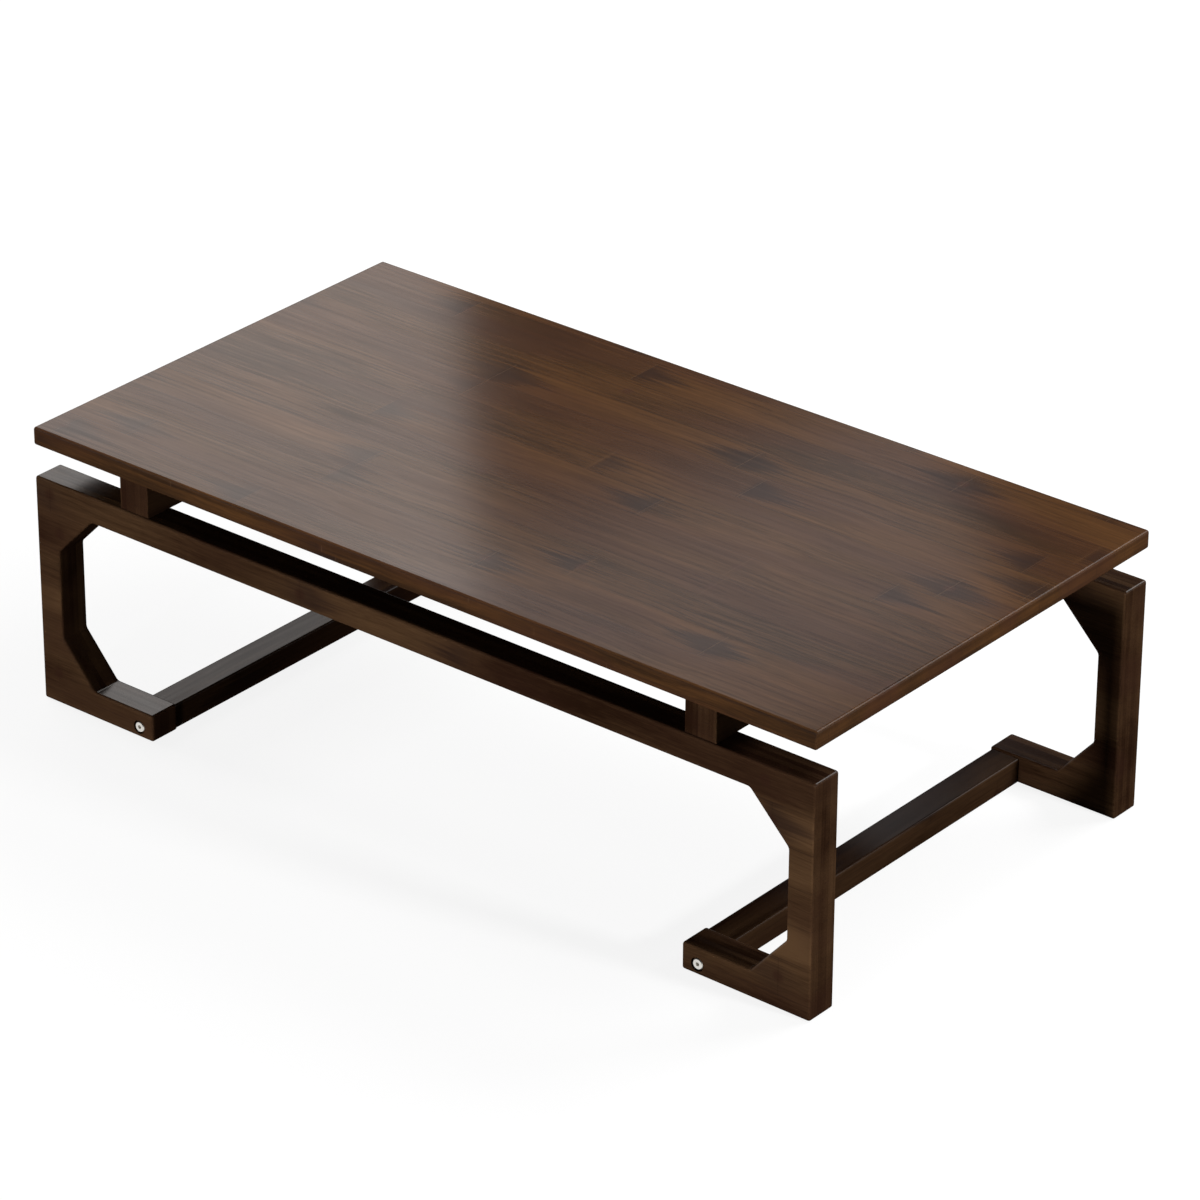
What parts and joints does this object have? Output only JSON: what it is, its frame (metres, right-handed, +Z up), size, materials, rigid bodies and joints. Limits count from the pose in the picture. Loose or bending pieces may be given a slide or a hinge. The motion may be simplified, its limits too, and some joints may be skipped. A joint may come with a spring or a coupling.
{
  "type": "japanese low table",
  "caption": "Low floor-seating table: a flat dark wood top floating on cross battens over side frames with C-shaped legs and low stretchers between the feet.",
  "frame": {"origin": "on the floor, under the middle of the top", "axes": "+X along the length of the top, +Y from the front to the rear, +Z up; the front faces -Y"},
  "size_m": [1, 0.536, 0.311],
  "materials": {
    "top_wood": "dark walnut stain, satin lacquer",
    "frame_wood": "dark walnut stain, satin lacquer",
    "plated_steel": "nickel plated",
    "dowel_wood": "plain beech"
  },
  "bodies": {
    "root": {"tabletop": "top_wood", "left_batten": "frame_wood", "right_batten": "frame_wood", "front_rail": "frame_wood", "rear_rail": "frame_wood", "front_left_leg": "frame_wood", "front_right_leg": "frame_wood", "rear_left_leg": "frame_wood", "rear_right_leg": "frame_wood", "left_stretcher": "frame_wood", "right_stretcher": "frame_wood", "left_stretcher_bolts": "plated_steel", "right_stretcher_bolts": "plated_steel", "left_barrel_nuts": "plated_steel", "right_barrel_nuts": "plated_steel", "left_stretcher_dowels": "dowel_wood", "right_stretcher_dowels": "dowel_wood", "left_batten_bolts": "plated_steel", "right_batten_bolts": "plated_steel", "left_insert_nuts": "plated_steel", "right_insert_nuts": "plated_steel", "left_top_screws": "plated_steel", "right_top_screws": "plated_steel"}
  },
  "joints": []
}
